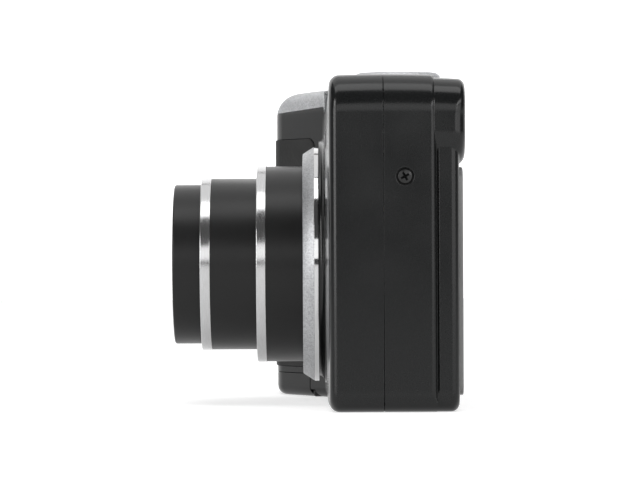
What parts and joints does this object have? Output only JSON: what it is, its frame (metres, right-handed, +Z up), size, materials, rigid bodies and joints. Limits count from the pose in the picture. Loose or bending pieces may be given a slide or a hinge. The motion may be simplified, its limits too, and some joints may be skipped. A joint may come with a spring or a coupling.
{
  "type": "bridge camera",
  "caption": "Compact long-zoom camera with a telescoping lens, silver bezel, rubber hand grip, rear screen, top dial and zoom lever, hinged battery door and tripod socket.",
  "frame": {"origin": "on the underside of the body, directly below the lens axis", "axes": "+Z up, -Y out of the lens, +X towards the viewer's left hand"},
  "size_m": [0.1139, 0.0629, 0.0749],
  "materials": {
    "body_plastic": "fine matt texture",
    "inner_plastic": "matt",
    "rubber": "matt",
    "silver_paint": "satin metallic paint",
    "chrome": "polished",
    "barrel_black": "satin black anodised",
    "glass": "coated",
    "screen_glass": "gloss",
    "clear_plastic": "ribbed clear",
    "amber_plastic": "clear",
    "steel": "bare",
    "black_steel": "blackened",
    "brass": "bare",
    "board": "solder mask",
    "cell": "printed jacket",
    "card": "matt"
  },
  "bodies": {
    "body": {"front_cover": "body_plastic", "rear_cover": "body_plastic", "top_cover": "silver_paint", "grip_pad": "rubber", "lens_bezel": "silver_paint", "bezel_band": "chrome", "lens_tube": "inner_plastic", "chassis": "steel", "main_board": "board", "key_board": "board", "sensor_plate": "steel", "image_sensor": "inner_plastic", "lcd_frame": "steel", "lcd_panel": "screen_glass", "lcd_window": "screen_glass", "flash_window": "clear_plastic", "flash_reflector": "chrome", "flash_tube": "clear_plastic", "flash_capacitor": "cell", "focus_lamp": "amber_plastic", "tripod_bush": "steel", "battery_box": "inner_plastic", "aa_cells": "cell", "battery_contacts": "brass", "card_slot": "steel", "memory_card": "card", "strap_lug": "chrome", "case_screws": "black_steel", "zoom_gearbox": "inner_plastic", "zoom_motor": "steel", "speaker": "inner_plastic", "focus_rods": "steel", "port_block": "steel", "door_hinge_pin": "steel"},
    "barrel_1": {"barrel_1": "barrel_black", "barrel_1_ring": "chrome"},
    "barrel_2": {"barrel_2": "barrel_black", "barrel_2_ring": "chrome", "shutter_unit": "inner_plastic", "zoom_lens": "glass"},
    "barrel_3": {"barrel_3": "barrel_black", "front_ring": "inner_plastic", "front_glass": "glass"},
    "upper_blade": {"upper_blade": "black_steel"},
    "lower_blade": {"lower_blade": "black_steel"},
    "focus_group": {"focus_carriage": "inner_plastic", "focus_lens": "glass"},
    "cam_ring": {"cam_ring": "inner_plastic"},
    "drive_gear": {"drive_gear": "brass"},
    "shutter_button": {"shutter_button": "chrome"},
    "zoom_lever": {"zoom_lever": "silver_paint"},
    "mode_dial": {"mode_dial": "silver_paint"},
    "power_button": {"power_button": "silver_paint"},
    "control_wheel": {"control_wheel": "body_plastic"},
    "set_button": {"set_button": "body_plastic"},
    "play_button": {"play_button": "body_plastic"},
    "menu_button": {"menu_button": "body_plastic"},
    "battery_door": {"battery_door": "body_plastic", "door_contact": "brass"},
    "port_cover": {"port_cover": "rubber"}
  },
  "joints": [
    {"name": "cam_turn", "type": "hinge", "parent": "body", "child": "cam_ring", "pos_m": [0, 0, 0.031], "axis": [0, 1, 0], "range_deg": [0, 90]},
    {"name": "barrel_1_slide", "type": "slide", "parent": "body", "child": "barrel_1", "axis": [0, 1, 0], "range_m": [0, 0.009]},
    {"name": "barrel_2_slide", "type": "slide", "parent": "barrel_1", "child": "barrel_2", "axis": [0, 1, 0], "range_m": [0, 0.01175]},
    {"name": "barrel_3_slide", "type": "slide", "parent": "barrel_2", "child": "barrel_3", "axis": [0, 1, 0], "range_m": [0, 0.00565]},
    {"name": "drive_turn", "type": "hinge", "parent": "body", "child": "drive_gear", "pos_m": [0.02212, 0.0012, 0.04649], "axis": [0, 1, 0], "range_deg": [-590, 0]},
    {"name": "focus_slide", "type": "slide", "parent": "body", "child": "focus_group", "axis": [0, 1, 0], "range_m": [0, 0.001]},
    {"name": "upper_blade_swing", "type": "hinge", "parent": "barrel_3", "child": "upper_blade", "pos_m": [-0.01515, -0.0454, 0.031], "axis": [0, 1, 0], "range_deg": [0, 30.77]},
    {"name": "lower_blade_swing", "type": "hinge", "parent": "barrel_3", "child": "lower_blade", "pos_m": [0.01515, -0.0454, 0.031], "axis": [0, 1, 0], "range_deg": [0, 30.77]},
    {"name": "shutter_press", "type": "slide", "parent": "body", "child": "shutter_button", "axis": [0, 0, -1], "range_m": [0, 0.0012], "stiffness_N_per_m": 1500, "springref_m": -0.0003},
    {"name": "zoom_lever_turn", "type": "hinge", "parent": "body", "child": "zoom_lever", "pos_m": [-0.047, -0.0015, 0.072], "axis": [0, 0, 1], "range_deg": [-25, 25], "stiffness_Nm_per_rad": 0.03},
    {"name": "mode_dial_turn", "type": "hinge", "parent": "body", "child": "mode_dial", "pos_m": [-0.028, 0.0041, 0.073], "axis": [0, 0, 1], "continuous": true},
    {"name": "power_press", "type": "slide", "parent": "body", "child": "power_button", "axis": [0, 0, -1], "range_m": [0, 0.0005], "stiffness_N_per_m": 2500, "springref_m": -0.0002},
    {"name": "control_wheel_turn", "type": "hinge", "parent": "body", "child": "control_wheel", "pos_m": [-0.0448, 0.015, 0.027], "axis": [0, 1, 0], "continuous": true},
    {"name": "set_press", "type": "slide", "parent": "body", "child": "set_button", "axis": [0, -1, 0], "range_m": [0, 0.0005], "stiffness_N_per_m": 2500, "springref_m": -0.0002},
    {"name": "play_press", "type": "slide", "parent": "body", "child": "play_button", "axis": [0, -1, 0], "range_m": [0, 0.0005], "stiffness_N_per_m": 2500, "springref_m": -0.0002},
    {"name": "menu_press", "type": "slide", "parent": "body", "child": "menu_button", "axis": [0, -1, 0], "range_m": [0, 0.0005], "stiffness_N_per_m": 2500, "springref_m": -0.0002},
    {"name": "battery_door_swing", "type": "hinge", "parent": "body", "child": "battery_door", "pos_m": [-0.027, 0, 0.0011], "axis": [0, -1, 0], "range_deg": [0, 90]},
    {"name": "port_cover_swing", "type": "hinge", "parent": "body", "child": "port_cover", "pos_m": [-0.0616, 0.002, 0.038], "axis": [0, 0, 1], "range_deg": [0, 110]}
  ],
  "couplings": [
    {"joint": "barrel_2_slide", "follows": "barrel_1_slide", "ratio": 1.3056},
    {"joint": "barrel_3_slide", "follows": "barrel_1_slide", "ratio": 0.62778},
    {"joint": "cam_turn", "follows": "barrel_1_slide", "rad_per_m": 174.53},
    {"joint": "drive_turn", "follows": "barrel_1_slide", "rad_per_m": -1134.5},
    {"joint": "lower_blade_swing", "follows": "upper_blade_swing", "ratio": 1}
  ]
}
